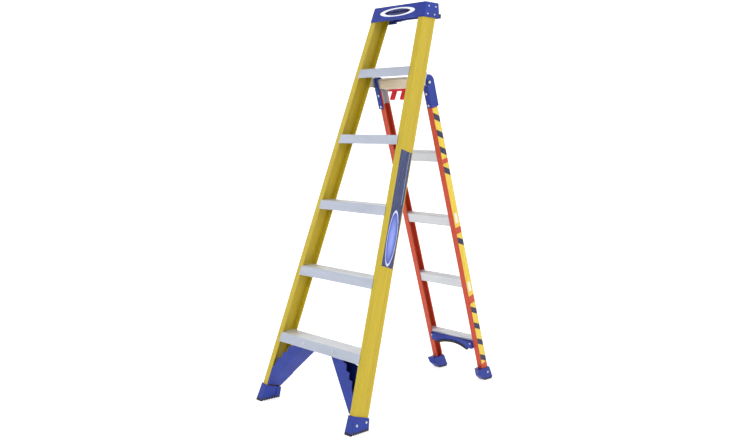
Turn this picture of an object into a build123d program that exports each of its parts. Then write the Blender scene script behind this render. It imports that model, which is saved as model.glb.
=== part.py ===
from build123d import *
import math
import os

# Step ladder whose rear section of rungs swings up over the back to lengthen it.
# Millimetres. X runs across the ladder, Y backwards, Z up. While the pieces are made, the ground is
# at Z = 0 and the swing axis at Y = 0; the finished ladder is moved to centre its footprint.
# Each section is drawn standing upright in its own frame and then leant into place:
#   front frame: X across, Y from the rails' front face backwards, Z up along the rails from the ground
#   rear frame:  X across, Y backwards, Z up along the rails from the swing axis

# ---- Stance ----
first_tread_height = 297.0
tread_rise = 290.0
tread_count = 5
cap_top_height = 1735.0
front_tilt = 17.2
rear_tilt = 17.7
pivot_height = 1395.0
pivot_standoff = 43.5

# ---- Front rails ----
base_half_width = 309.0
rail_lean = 4.8
front_rail_depth = 76.0
front_rail_flange = 30.0
front_rail_wall = 3.5
front_rail_groove = 36.0
front_rail_groove_depth = 0.8
rail_corner = 2.5
rail_end_height = 20.0

# ---- Rear rails ----
rear_half_width = 160.0
rear_rail_depth = 40.0
rear_rail_flange = 28.0
rear_rail_wall = 3.2
rear_rail_ahead = 9.0
rear_rail_drop = 27.0

# ---- Treads ----
tread_wall = 2.6
tread_apron = 40.0
tread_rear_apron = 30.0
tread_lap = 4.0
tread_rib_count = 12
tread_rib_depth = 1.0
tread_groove_half_width = 1.6
tread_groove_floor = 0.8

# ---- Rungs ----
rung_height = 46.0
rung_wall = 2.4
rung_corner = 5.0
rung_count = 4
rung_pitch = 309.3
lowest_rung_top = 209.0
cross_bar_below = 22.0
rung_groove_count = 4
rung_groove = 1.4

# ---- Top cap ----
cap_wall = 4.0
cap_top_wall = 5.0
cap_side_height = 66.0
cap_corner = 10.0
cap_edge = 5.0
cap_rear_arch = 9.0
cap_arch_half_width = 108.0
cap_rib_wall = 3.0
cap_rib_gap = 6.0
cap_notch_width = 170.0
cap_notch_depth = 20.0
tray_depth = 2.0
tray_half_length = 100.0
tray_width = 32.0
tray_behind_edge = 8.0
tool_hole = 22.0
tool_hole_spacing = 60.0
tool_slot_length = 46.0
tool_slot_width = 9.0
tool_slot_gap = 73.0
badge_length = 214.0
badge_height = 40.0
badge_thickness = 1.4
cap_pad_height = 18.0
cap_pad_lift = 2.0
cap_pad_margin = 3.0
cap_rivet_low = 14.0
cap_rivet_high = 18.0
cap_rivet_front = 20.0
cap_rivet_back = 17.5
cap_pad_thickness = 9.0
pad_tooth_pitch = 9.0
pad_tooth_depth = 3.0

# ---- Knee braces ----
brace_wall = 4.0
brace_inner_top = 96.0
brace_top_width = 70.0
brace_bottom_width = 266.0
brace_bottom_height = 78.0
brace_top_height = 264.0
brace_collar_top = 148.0
brace_step_count = 3
brace_step_rise = 0.85
brace_step_run = 0.2
brace_step_inset = 18.0
brace_first_step = 26.0
brace_rivet_heights = (94.0, 132.0)
apron_rivet_inset = 24.0

# ---- Front boots ----
front_boot_height = 75.0
boot_wall = 4.5
tooth_share = 0.6
front_toe = 9.0
front_heel = 12.0
front_sole = 11.0
front_tooth_pitch = 13.0
front_heel_height = 26.0
front_boot_inner_wall = 6.0
boot_chamfer = 3.0
boot_pocket = 3.0
boot_pocket_margin = 16.0
boot_pocket_height = 38.0

# ---- Rear boots ----
rear_boot_height = 66.0
rear_boot_wall = 5.0
rear_heel = 15.0
rear_heel_height = 10.0
rear_sole = 9.0
rear_tooth_pitch = 11.0
rear_boot_inner_wall = 5.0
rear_lip_reach = 34.0
rear_lip_slant = 15.0
rear_lip_height = 59.0
rear_lip_bottom = 31.0
rear_toe_reach = 12.0
rear_toe_height = 13.0
rear_slot_width = 6.0
rear_slot_spacing = 20.0
rear_slot_depth = 12.0
rear_slot_bottom = 22.0
rear_slot_height = 24.0
rear_foot_rivet_back = 27.0
rear_foot_rivet_height = 34.0

# ---- Hinge ----
bracket_plate = 4.6
bracket_round = 34.0
bracket_length = 111.0
bracket_flange_width = 26.0
bracket_back_plate = 2.0
bracket_cheek = 11.0
bracket_rivet_inset = 11.0
bracket_rivet_depths = (49.0, 101.0)
tongue_length = 22.0
tongue_rivet_inset = 11.0
ear_wall = 4.4
ear_round = 20.0
ear_base_height = 56.0
ear_base_margin = 1.8
ear_rivet_inset = 11.8
ear_rivet_margin = 10.0
pin_diameter = 10.0
pin_head_diameter = 14.0
pin_head_height = 4.0
pin_depth_in_cheek = 1.5
washer_diameter = 21.0
washer_wall = 1.2
liner_wall = 2.2
liner_length = 66.0

# ---- Wall rest on the lowest rung ----
rest_rail_gap = 1.0
rest_height = 36.0
rest_below_rung_top = 14.0
rest_end_reach = 17.0
rest_middle_reach = 4.5
rest_block_length = 34.0
rest_arch_rise = 15.0
rest_corner = 4.0
rest_rivet_inset = 8.0
rest_rivet_margin = 9.0
grip_height = 12.0
grip_proud = 3.0
grip_wall = 10.0
grip_tooth_pitch = 11.0
grip_tooth_depth = 3.0

# ---- Latch ----
latch_half_length = 104.0
latch_bar_diameter = 11.0
latch_pin_diameter = 5.0
lever_spacing = 62.0
lever_tilt = 38.0
lever_width = 30.0
lever_length = 48.0
lever_wall = 6.0
latch_drop = 9.0
latch_lug_wall = 3.0
latch_lug_width = 16.0
latch_lug_foot = 16.0
lug_screw_inset = 9.0
latch_pin_head = 9.0
latch_pin_head_height = 2.0
spring_room = 8.0
spring_wire = 1.4
spring_turns = 4

# ---- Rivets ----
rivet_shank = 5.0
rivet_head = 11.0
rivet_head_height = 2.4
small_rivet_shank = 4.0
small_rivet_head = 8.0
small_rivet_head_height = 1.6
tread_rivet_inset = 9.0
foot_rivet_front = (15.0, 41.0)
foot_rivet_back = (12.0, 58.0)
hole_length = 14.0
short_hole = 8.0

# ---- Fits ----
seat = 0.2
hole_play = 0.1
running = 0.08
swing_gap = 0.5
bite = 1.0
far = 3000.0

# ---- Values that follow ----
front_slope = math.tan(math.radians(front_tilt))
front_cos = math.cos(math.radians(front_tilt))
rear_slope = math.tan(math.radians(rear_tilt))
rear_cos = math.cos(math.radians(rear_tilt))
lean_slope = math.tan(math.radians(rail_lean))
pivot_depth = front_rail_depth + pivot_standoff
pivot_along = pivot_height / front_cos + pivot_depth * front_slope
front_base_y = -(pivot_along * math.sin(math.radians(front_tilt)) + pivot_depth * front_cos)
rear_face = -rear_rail_ahead
rear_back = rear_face + rear_rail_depth
ear_outer = rear_half_width - swing_gap
ear_inner = ear_outer - ear_wall
cheek_outer = ear_inner - swing_gap
cheek_inner = cheek_outer - bracket_cheek
plate_inner = rear_half_width + seat
plate_outer = plate_inner + bracket_plate
bracket_front = rear_face - seat - bracket_plate
bracket_back = rear_back + seat + bracket_back_plate
bracket_shelf = -rear_rail_drop + seat
rest_half_length = rear_half_width - rear_rail_flange - rest_rail_gap
rest_hollow_half = rest_half_length - rest_block_length
cap_low = cap_top_height - cap_side_height


def lean_front(shape):
    """Move a shape from the front frame to its place."""
    return Pos(0, front_base_y, 0) * Rot(-front_tilt, 0, 0) * shape


def lean_rear(shape):
    """Move a shape from the rear frame to its place."""
    return Pos(0, 0, pivot_height) * Rot(rear_tilt, 0, 0) * shape


def on_rail(shape):
    """Move a shape from the right front rail's own frame, X = 0 at its outer face, to the front frame."""
    return Pos(base_half_width, 0, 0) * Rot(0, -rail_lean, 0) * shape


def other_side(shape):
    return mirror(shape, about=Plane.YZ)


def block(x0, x1, y0, y1, z0, z1):
    return Pos((x0 + x1) / 2, (y0 + y1) / 2, (z0 + z1) / 2) * Box(x1 - x0, y1 - y0, z1 - z0)


def slab(z0, z1):
    """All the space between two heights."""
    return block(-far, far, -far, far, z0, z1)


def side_prism(points, x0, x1):
    """A side outline of (y, z) points carried across from x0 to x1."""
    outline = Polyline(*[(x0, y, z) for y, z in points], close=True)
    return extrude(make_face(outline), amount=x1 - x0, dir=(1, 0, 0))


def front_prism(points, y0, y1):
    """A front outline of (x, z) points carried back from y0 to y1."""
    outline = Polyline(*[(x, y0, z) for x, z in points], close=True)
    return extrude(make_face(outline), amount=y1 - y0, dir=(0, 1, 0))


def plan_prism(points, z0, z1):
    """A plan outline of (x, y) points carried up from z0 to z1."""
    outline = Polyline(*[(x, y, z0) for x, y in points], close=True)
    return extrude(make_face(outline), amount=z1 - z0, dir=(0, 0, 1))


def rod_x(diameter, x0, x1, y, z):
    return Pos((x0 + x1) / 2, y, z) * Rot(0, 90, 0) * Cylinder(diameter / 2, x1 - x0)


def rivet(shank, length, head, height):
    """A domed rivet along Z: the head stands on Z = 0 and the shank hangs below it."""
    dome = Pos(0, 0, height / 2) * Cylinder(head / 2, height)
    dome = fillet(dome.edges().group_by(Axis.Z)[-1], height * 0.8)
    return dome + Pos(0, 0, -length / 2) * Cylinder(shank / 2, length)


def large_rivet(length):
    return rivet(rivet_shank, length, rivet_head, rivet_head_height)


def small_rivet(length):
    return rivet(small_rivet_shank, length, small_rivet_head, small_rivet_head_height)


def rivet_hole(shank, length):
    """The hole for a rivet along Z, reaching a little above its head's seat."""
    return Pos(0, 0, (1 - length) / 2) * Cylinder(shank / 2 + hole_play, length + 1)


def solids_of(pieces):
    """Separate solids that share one node."""
    return Compound([solid for piece in pieces for solid in piece.solids()])


def channel(depth, flange, wall, z0, z1):
    """A rail's channel with its outer face at X = 0 and its open side towards -X."""
    outer = block(-flange, 0, 0, depth, z0, z1)
    outer = fillet(outer.edges().filter_by(Axis.Z).group_by(Axis.X)[-1], rail_corner)
    return outer - block(-far, -wall, wall, depth - wall, -far, far)


# ---- Front rails ----

def tread_top(index, y):
    """Height of a tread's top, in the front frame, at a depth y."""
    return (first_tread_height + index * tread_rise) / front_cos + y * front_slope


def rail_outer_x(z):
    """How far out the rail's outer face is, in the front frame."""
    return base_half_width - z * lean_slope


def tread_rivet_place(index):
    """Through the rear flange into the rear apron, in the rail's frame, head facing backwards."""
    height = tread_top(index, front_rail_depth) - tread_rear_apron / 2
    along = height / math.cos(math.radians(rail_lean))
    return Pos(-front_rail_flange + tread_rivet_inset, front_rail_depth, along) * Rot(-90, 0, 0)


def foot_rivet_places():
    """Outside of the boot, in the rail's frame, heads facing outwards."""
    from_back, height = foot_rivet_back
    spots = [foot_rivet_front, (front_rail_depth - from_back, height)]
    return [Pos(boot_wall, y, z) * Rot(0, 90, 0) for y, z in spots]


def cap_rivet_places():
    """Right side of the cap, in the working frame, heads facing outwards."""
    low = cap_low + cap_rivet_low
    high = cap_top_height - cap_rivet_high
    side_lean = math.degrees(math.atan(lean_slope / front_cos))
    places = []
    for height in (low, high):
        front = front_base_y + height * front_slope
        for back in (cap_rivet_front, front_rail_depth / front_cos - cap_rivet_back):
            x = base_half_width - height / front_cos * lean_slope + cap_wall + seat
            places.append(Pos(x, front + back, height) * Rot(0, 90 - side_lean, 0))
    return places


def ear_rivet_places():
    """Through the ear's base into the rear flange, in the front frame, heads facing backwards."""
    x = rail_outer_x(pivot_along) - ear_rivet_inset
    y = front_rail_depth + seat + ear_wall
    reach = ear_base_height / 2 - ear_rivet_margin
    return [Pos(x, y, pivot_along + dz) * Rot(-90, 0, 0) for dz in (-reach, 0, reach)]


def brace_rivet_places():
    """Through the rear flange into the brace's collar, in the rail's frame, heads facing backwards."""
    x = -front_rail_flange / 2
    return [Pos(x, front_rail_depth, z) * Rot(-90, 0, 0) for z in brace_rivet_heights]


def make_front_rail():
    top = (cap_top_height + front_rail_depth) / front_cos + cap_side_height
    rail = channel(front_rail_depth, front_rail_flange, front_rail_wall, -front_boot_height, top)
    groove_start = (front_rail_depth - front_rail_groove) / 2
    groove_end = groove_start + front_rail_groove
    rail -= block(-front_rail_groove_depth, far, groove_start, groove_end, -far, far)
    for index in range(tread_count):
        rail -= tread_rivet_place(index) * rivet_hole(rivet_shank, hole_length)
    for place in foot_rivet_places() + brace_rivet_places():
        rail -= place * rivet_hole(rivet_shank, hole_length)
    rail = on_rail(rail)
    for place in ear_rivet_places():
        rail -= place * rivet_hole(rivet_shank, hole_length)
    rail = lean_front(rail)
    for place in cap_rivet_places():
        rail -= place * rivet_hole(small_rivet_shank, hole_length)
    return rail & slab(rail_end_height, cap_top_height - cap_top_wall - seat)


# ---- Treads ----

def make_tread(index):
    front = -tread_wall - seat
    back = front_rail_depth - front_rail_wall - seat
    top = []
    pitch = (back - front) / (tread_rib_count + 1)
    for rib in range(1, tread_rib_count + 1):
        y = front + rib * pitch
        for dy, drop in ((-tread_groove_half_width, 0), (-tread_groove_floor, 1),
                         (tread_groove_floor, 1), (tread_groove_half_width, 0)):
            top.append((y + dy, tread_top(index, y + dy) - drop * tread_rib_depth))
    apron_end = tread_top(index, front) - tread_apron
    rear_end = tread_top(index, back) - tread_rear_apron
    outline = [(front, apron_end), (front, tread_top(index, front))] + top
    outline += [(back, tread_top(index, back)), (back, rear_end), (back - tread_wall, rear_end)]
    outline += [(back - tread_wall, tread_top(index, back - tread_wall) - tread_wall)]
    outline += [(front + tread_wall, tread_top(index, front + tread_wall) - tread_wall)]
    outline += [(front + tread_wall, apron_end)]
    tread = side_prism(outline, -base_half_width, base_half_width)
    edge = -front_rail_flange
    beyond_web = block(-front_rail_wall - seat, far, -far, far, -far, far)
    past_lap = block(edge - seat + tread_lap, far, -far, front_rail_wall + seat, -far, far)
    round_flange = block(edge - seat, far, -seat, front_rail_wall + seat, -far, far)
    trim = on_rail(beyond_web + past_lap + round_flange)
    tread = tread - trim
    tread = tread - other_side(trim)
    hole = on_rail(tread_rivet_place(index) * rivet_hole(rivet_shank, hole_length))
    tread = tread - hole
    tread = tread - other_side(hole)
    if index == 0:
        hole = apron_rivet_place() * rivet_hole(rivet_shank, hole_length)
        tread = tread - hole
        tread = tread - other_side(hole)
    return lean_front(tread)


def make_tread_rivets():
    length = front_rail_wall + seat + tread_wall
    places = [tread_rivet_place(index) for index in range(tread_count)]
    right = [lean_front(on_rail(place * large_rivet(length))) for place in places]
    return solids_of(right + [other_side(r) for r in right])


# ---- Top cap ----

def cap_rear_y():
    """The cap's rear face, one wall behind the rails' rear edge at their tops."""
    reach = (cap_top_height - cap_top_wall) * front_slope + front_rail_depth / front_cos
    return front_base_y + reach + seat + cap_wall


def cap_half_width(height, inset):
    return base_half_width - height / front_cos * lean_slope + cap_wall + seat - inset


def cap_form(inset, low, high, corner):
    """The cap's outside, or its hollow when inset, between two heights."""
    front = front_base_y + (inset - cap_wall - seat) / front_cos
    rear = cap_rear_y() - inset
    outline = [(front + low * front_slope, low), (front + high * front_slope, high), (rear, high), (rear, low)]
    form = side_prism(outline, -far, far)
    sides = [(cap_half_width(low, inset), low), (cap_half_width(high, inset), high)]
    form = form & front_prism(sides + [(-x, z) for x, z in reversed(sides)], -far, far)
    upright = form.edges().filter_by(lambda e: abs(e.tangent_at(0.5).Z) > 0.8)
    return fillet(upright, corner)


def notch_radius():
    return cap_notch_width ** 2 / (8 * cap_notch_depth) + cap_notch_depth / 2


def notch_tool(extra):
    """The round-backed notch in the middle of the rear face."""
    centre = cap_rear_y() - cap_notch_depth + notch_radius()
    return Pos(0, centre, 0) * Cylinder(notch_radius() + extra, 2 * far)


def cap_arch():
    """What is cut from the middle of the cap's rear edge."""
    ahead = cap_rear_y() - cap_notch_depth - 2 * cap_wall
    return block(-cap_arch_half_width, cap_arch_half_width, ahead, far, -far, cap_low + cap_rear_arch)


def tray_middle():
    """Depth of the tool holes' line."""
    return cap_rear_y() - cap_notch_depth - tray_behind_edge - tray_width / 2


def make_cap():
    under_top = cap_top_height - cap_top_wall
    shell = cap_form(0, cap_low, cap_top_height, cap_corner)
    shell = fillet(shell.faces().sort_by(Axis.Z)[-1].edges(), cap_edge)
    shell -= notch_tool(0)
    hollow = cap_form(cap_wall, cap_low - cap_wall, under_top, rail_corner) - notch_tool(cap_wall)
    shell -= hollow
    rib_x = cap_half_width(cap_top_height, 0) - cap_wall - front_rail_flange - cap_rib_gap
    rib = block(-cap_rib_wall / 2, cap_rib_wall / 2, -far, far, cap_low + cap_rear_arch + cap_wall, far)
    for side in (-1, 1):
        shell += (Pos(side * rib_x, 0, 0) * rib) & hollow
    shell -= cap_arch()
    middle = tray_middle()
    half = tray_width / 2
    shell -= block(-tray_half_length, tray_half_length, middle - half, middle + half,
                   cap_top_height - tray_depth, far)
    slot = block(-tool_slot_length / 2, tool_slot_length / 2, -tool_slot_width / 2, tool_slot_width / 2, -far, far)
    slot = fillet(slot.edges().filter_by(Axis.Z), tool_slot_width / 2 - hole_play)
    for side in (-1, 1):
        shell -= Pos(side * tool_hole_spacing / 2, middle, cap_top_height) * Cylinder(tool_hole / 2, cap_side_height)
        shell -= Pos(side * tool_slot_gap, middle, 0) * slot
    for place in cap_rivet_places():
        hole = place * rivet_hole(small_rivet_shank, hole_length)
        shell -= hole
        shell -= other_side(hole)
    return shell


def make_cap_rivets():
    length = cap_wall + seat + front_rail_wall
    right = [place * small_rivet(length) for place in cap_rivet_places()]
    return solids_of(right + [other_side(r) for r in right])


def make_badge():
    along = (cap_top_height - cap_side_height / 2) / front_cos
    face = -cap_wall - seat
    oval = extrude(Ellipse(badge_length / 2, badge_height / 2), badge_thickness)
    return lean_front(Pos(0, face, along) * Rot(90, 0, 0) * oval)


def make_cap_wall_pad():
    low = cap_low + cap_pad_lift
    high = low + cap_pad_height
    rear = cap_rear_y()
    back = rear + cap_pad_thickness
    half = cap_half_width(high, 0) - cap_pad_margin
    pad = block(-half, half, rear - cap_notch_depth - cap_wall, back, low, high)
    pad -= block(-far, far, -far, rear, -far, far) - notch_tool(0)
    pad -= notch_tool(-cap_pad_thickness)
    pad -= cap_arch()
    count = int(2 * half / pad_tooth_pitch)
    centre = rear - cap_notch_depth + notch_radius()
    inside = notch_radius() - cap_pad_thickness
    groove = Rot(0, 0, 45) * Box(pad_tooth_depth, pad_tooth_depth, far)
    for tooth in range(count):
        x = (tooth - (count - 1) / 2) * pad_tooth_pitch
        hollow = centre - math.sqrt(max(inside ** 2 - x ** 2, 0))
        pad -= Pos(x, min(hollow, back), 0) * groove
    return pad


# ---- Knee braces ----

def brace_under(z):
    """Where the brace's slanting underside is across the ladder, at a height in the front frame."""
    run = (brace_bottom_width - brace_inner_top) / (brace_top_height - brace_bottom_height)
    return brace_bottom_width - (z - brace_bottom_height) * run


def flange_edge(z):
    """Where the rail's flanges end across the ladder, at a height in the front frame."""
    return rail_outer_x(z) - front_rail_flange / math.cos(math.radians(rail_lean))


def apron_rivet_place():
    """Through the lowest tread's apron into the brace, in the front frame, head facing forwards."""
    front = -tread_wall - seat
    height = tread_top(0, front) - tread_apron / 2
    return Pos(brace_under(height) + apron_rivet_inset, front, height) * Rot(90, 0, 0)


def brace_steps():
    """The stepped outer edge, from the collar up to the tread."""
    start_x = flange_edge(brace_collar_top) - brace_step_inset
    start_z = brace_collar_top + brace_first_step
    run = (brace_inner_top + brace_top_width - start_x) / brace_step_count
    rise = (brace_top_height - start_z) / brace_step_count
    points = []
    for step in range(brace_step_count):
        x = start_x + step * run
        z = start_z + step * rise
        points += [(x, z), (x + brace_step_run * run, z + brace_step_rise * rise)]
    return points


def make_brace():
    low = brace_bottom_height
    high = tread_top(0, front_rail_depth)
    outer_top = brace_inner_top + brace_top_width
    outline = [(brace_under(low), low), (flange_edge(low) - seat, low)]
    outline += [(flange_edge(brace_collar_top) - seat, brace_collar_top)] + brace_steps()
    outline += [(outer_top, brace_top_height), (outer_top, high), (brace_under(high), high)]
    thick = brace_wall * math.hypot(1, brace_under(0) - brace_under(1))
    back = front_rail_depth - front_rail_wall - tread_wall - 3 * seat
    brace = front_prism(outline, seat, seat + brace_wall)
    brace += front_prism(outline, back - brace_wall, back)
    slant = [(brace_under(low), low), (brace_under(low) + thick, low)]
    slant += [(brace_under(high) + thick, high), (brace_under(high), high)]
    brace += front_prism(slant, seat, back)
    under = tread_wall + brace_wall + seat
    front_end = seat + bite
    back_end = back - bite
    plate = [(front_end, tread_top(0, front_end) - under), (back_end, tread_top(0, back_end) - under)]
    plate += [(back_end, tread_top(0, back_end)), (front_end, tread_top(0, front_end))]
    brace += side_prism(plate, brace_under(brace_top_height) + bite, outer_top)
    brace += make_collar() + (front_prism(slant, seat, back) & slab(low, brace_collar_top))
    brace -= on_rail(block(-front_rail_wall - seat, far, -far, far, -far, far))
    flange_front = on_rail(block(-front_rail_flange - seat, far, -far, front_rail_wall + seat, -far, far))
    flange_rear = on_rail(block(-front_rail_flange - seat, far, front_rail_depth - front_rail_wall - seat, far,
                                -far, far))
    brace -= flange_front + flange_rear
    below = [(-far, -far), (far, -far), (far, tread_top(0, far)), (-far, tread_top(0, -far))]
    brace = brace & (Pos(0, 0, -tread_wall - seat) * side_prism(below, 0, far))
    for place in brace_rivet_places():
        brace -= on_rail(place * rivet_hole(rivet_shank, hole_length))
    brace -= apron_rivet_place() * rivet_hole(rivet_shank, hole_length)
    return lean_front(brace)


def make_collar():
    """The brace's box inside the rail's channel, open at its top."""
    low = brace_bottom_height
    collar_front = front_rail_wall + seat
    collar_back = front_rail_depth - front_rail_wall - seat
    outline = [(brace_under(low), low), (far, low), (far, brace_collar_top),
               (brace_under(brace_collar_top), brace_collar_top)]
    collar = front_prism(outline, collar_front, collar_back)
    inner = block(-far, -front_rail_wall - seat - brace_wall, collar_front + brace_wall,
                  collar_back - brace_wall, -far, far)
    return collar - (on_rail(inner) & slab(low + brace_wall, far))


def make_brace_rivets():
    length = front_rail_wall + seat + brace_wall
    right = [lean_front(on_rail(place * large_rivet(length))) for place in brace_rivet_places()]
    apron = tread_wall + 2 * seat + brace_wall
    right.append(lean_front(apron_rivet_place() * large_rivet(apron)))
    return solids_of(right + [other_side(r) for r in right])


# ---- Front boots ----

def front_boot_form():
    heel = front_rail_depth + front_heel
    outline = [(-boot_wall, front_boot_height), (front_rail_depth + boot_wall, front_boot_height)]
    outline += [(heel, front_heel_height), (heel, -front_boot_height)]
    outline += [(boot_wall - 2 * front_toe, -front_boot_height)]
    form = side_prism(outline, -front_rail_flange - front_boot_inner_wall, boot_wall)
    upright = form.edges().filter_by(lambda e: abs(e.tangent_at(0.5).Z) > 0.9)
    return lean_front(on_rail(chamfer(upright, boot_chamfer)))


def make_front_boot():
    boot = front_boot_form() & slab(front_sole, far)
    room = block(-front_rail_flange - seat, seat, -seat, front_rail_depth + seat, -far, far)
    boot -= lean_front(on_rail(room)) & slab(rail_end_height - seat, far)
    inner = -front_rail_flange - front_boot_inner_wall
    bottom = front_sole + boot_pocket_margin
    pocket = block(inner - bite, inner + boot_pocket, boot_pocket_margin, front_rail_depth - boot_pocket_margin,
                   bottom, bottom + boot_pocket_height)
    boot -= lean_front(on_rail(pocket))
    for place in foot_rivet_places():
        boot -= lean_front(on_rail(place * rivet_hole(rivet_shank, hole_length)))
    return boot


def make_sole(form, sole, spacing):
    """The rubber under a boot, cut across into teeth."""
    pad = form & slab(0, sole)
    box = pad.bounding_box()
    count = int(box.size.Y / spacing)
    side = sole * tooth_share
    for tooth in range(count):
        y = box.center().Y + (tooth - (count - 1) / 2) * spacing
        pad -= Pos(0, y, 0) * Rot(45, 0, 0) * Box(far, side, side)
    return pad


def make_front_foot_rivets():
    length = boot_wall + front_rail_wall
    right = [lean_front(on_rail(place * large_rivet(length))) for place in foot_rivet_places()]
    return solids_of(right + [other_side(r) for r in right])


# ---- Hinge ears ----

def make_ear():
    base = front_rail_depth + seat
    half = ear_base_height / 2
    arm = [(base, pivot_along - half), (base, pivot_along + half)]
    shoulder = pivot_depth - ear_round
    arm += [(shoulder, pivot_along + ear_round), (pivot_depth, pivot_along + ear_round)]
    arm += [(pivot_depth, pivot_along - ear_round), (shoulder, pivot_along - ear_round)]
    ear = side_prism(arm, ear_inner, ear_outer)
    ear += rod_x(2 * ear_round, ear_inner, ear_outer, pivot_depth, pivot_along)
    foot_end = rail_outer_x(pivot_along) - ear_base_margin
    ear += block(ear_inner, foot_end, base, base + ear_wall, pivot_along - half, pivot_along + half)
    ear -= rod_x(pin_diameter + 2 * running, ear_inner - bite, ear_outer + bite, pivot_depth, pivot_along)
    for place in ear_rivet_places():
        ear -= place * rivet_hole(rivet_shank, hole_length)
    return lean_front(ear)


def make_ear_rivets():
    length = ear_wall + seat + front_rail_wall
    right = [lean_front(place * large_rivet(length)) for place in ear_rivet_places()]
    return solids_of(right + [other_side(r) for r in right])


# ---- Rear rails and rungs ----

def rear_ground(y):
    """Height of the ground in the rear frame at a depth y."""
    return -(pivot_height / rear_cos + y * rear_slope)


def rung_front():
    return rear_face + rear_rail_wall + seat


def rung_back():
    return rear_back - rear_rail_wall - seat


def rung_top(index):
    lowest = (lowest_rung_top - pivot_height) / rear_cos - rung_front() * rear_slope
    return lowest + index * rung_pitch


def rung_rivet_place(index):
    """Through the rear flange into the rung, in the rear frame, head facing backwards."""
    x = rear_half_width - rear_rail_flange / 2
    return Pos(x, rear_back, rung_top(index) - rung_height / 2) * Rot(-90, 0, 0)


def bracket_rivet_places():
    """Through the bracket's front flange into the rail, in the rear frame, heads facing forwards."""
    x = rear_half_width - bracket_rivet_inset
    return [Pos(x, bracket_front, -depth) * Rot(90, 0, 0) for depth in bracket_rivet_depths]


def rear_foot_rivet_place():
    """Outside of the rear boot, in the rear frame, head facing outwards."""
    height = rear_ground(0) + rear_foot_rivet_height
    return Pos(rear_half_width + rear_boot_wall, rear_face + rear_foot_rivet_back, height) * Rot(0, 90, 0)


def make_rear_rail():
    rail = channel(rear_rail_depth, rear_rail_flange, rear_rail_wall, 2 * rear_ground(0), -rear_rail_drop)
    rail = Pos(rear_half_width, rear_face, 0) * rail
    for index in range(rung_count):
        rail -= rung_rivet_place(index) * rivet_hole(small_rivet_shank, hole_length)
    for place in bracket_rivet_places() + [rear_foot_rivet_place()]:
        rail -= place * rivet_hole(rivet_shank, hole_length)
    return lean_rear(rail) & slab(rail_end_height, far)


def hollow_bar(half_length, top):
    """A hollow rung or cross bar, with a ribbed top."""
    front = rung_front()
    back = rung_back()
    outer = block(-half_length, half_length, front, back, top - rung_height, top)
    outer = fillet(outer.edges().filter_by(Axis.X), rung_corner)
    core = block(-far, far, front + rung_wall, back - rung_wall, top - rung_height + rung_wall, top - rung_wall)
    bar = outer - fillet(core.edges().filter_by(Axis.X), rung_corner - rung_wall)
    pitch = (back - front - 2 * rung_corner) / rung_groove_count
    for groove in range(rung_groove_count):
        y = front + rung_corner + (groove + 0.5) * pitch
        bar -= Pos(0, y, top) * Rot(45, 0, 0) * Box(far, rung_groove, rung_groove)
    return bar


def make_rung(index):
    rung = hollow_bar(rear_half_width - rear_rail_wall - seat, rung_top(index))
    hole = rung_rivet_place(index) * rivet_hole(small_rivet_shank, hole_length)
    rung -= hole
    rung -= other_side(hole)
    if index == 0:
        for place in rest_rivet_places():
            rung -= place * rivet_hole(small_rivet_shank, rest_rivet_length() + bite)
    return lean_rear(rung)


def make_rung_rivets():
    length = rear_rail_wall + seat + rung_wall
    right = [lean_rear(rung_rivet_place(i) * small_rivet(length)) for i in range(rung_count)]
    return solids_of(right + [other_side(r) for r in right])


def cross_bar_top():
    return rung_height - cross_bar_below


def tongue_rivet_place():
    """Through the cross bar's front into the bracket's tongue, in the rear frame."""
    height = cross_bar_top() - rung_height / 2
    return Pos(cheek_inner - tongue_rivet_inset, rung_front(), height) * Rot(90, 0, 0)


def make_cross_bar():
    bar = hollow_bar(cheek_inner, cross_bar_top())
    hole = tongue_rivet_place() * rivet_hole(small_rivet_shank, hole_length)
    bar -= hole
    bar -= other_side(hole)
    for place in lug_screw_places():
        bar -= place * rivet_hole(small_rivet_shank, short_hole)
    return lean_rear(bar)


# ---- Hinge brackets ----

def bracket_side(x0, x1, lowest):
    """A cheek of the bracket: round over the swing axis, straight in front."""
    side = rod_x(2 * bracket_round, x0, x1, 0, 0) & block(x0, x1, bracket_front, far, lowest, far)
    foot = [(bracket_front, 0), (bracket_round, 0), (bracket_back, lowest), (bracket_front, lowest)]
    return side + side_prism(foot, x0, x1)


def make_bracket():
    shelf_top = bracket_shelf + bracket_plate
    front_inner = rear_face - seat
    flange_start = plate_outer - bracket_flange_width
    bracket = bracket_side(plate_inner, plate_outer, -bracket_length)
    bracket += bracket_side(cheek_inner, cheek_outer, bracket_shelf)
    bracket += block(cheek_inner, plate_outer, bracket_front, bracket_back, bracket_shelf, shelf_top)
    bracket += block(flange_start, plate_outer, bracket_front, front_inner, -bracket_length, shelf_top)
    bracket += block(flange_start, plate_outer, rear_back + seat, bracket_back, -bracket_length, bracket_shelf)
    inside = rung_wall + seat
    tongue = block(cheek_inner - tongue_length, cheek_inner + bite, rung_front() + inside, rung_back() - inside,
                   inside - cross_bar_below, cross_bar_top() - inside)
    bracket += fillet(tongue.edges().filter_by(Axis.X), rung_corner - rung_wall)
    bracket -= rod_x(pin_diameter + 2 * hole_play, cheek_inner + bite, far, 0, 0)
    for place in bracket_rivet_places():
        bracket -= place * rivet_hole(rivet_shank, hole_length)
    bracket -= tongue_rivet_place() * rivet_hole(small_rivet_shank, hole_length)
    return lean_rear(bracket)


def make_bracket_rivets():
    length = bracket_plate + seat + rear_rail_wall
    right = [lean_rear(place * large_rivet(length)) for place in bracket_rivet_places()]
    right.append(lean_rear(tongue_rivet_place() * small_rivet(short_hole)))
    return solids_of(right + [other_side(r) for r in right])


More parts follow.
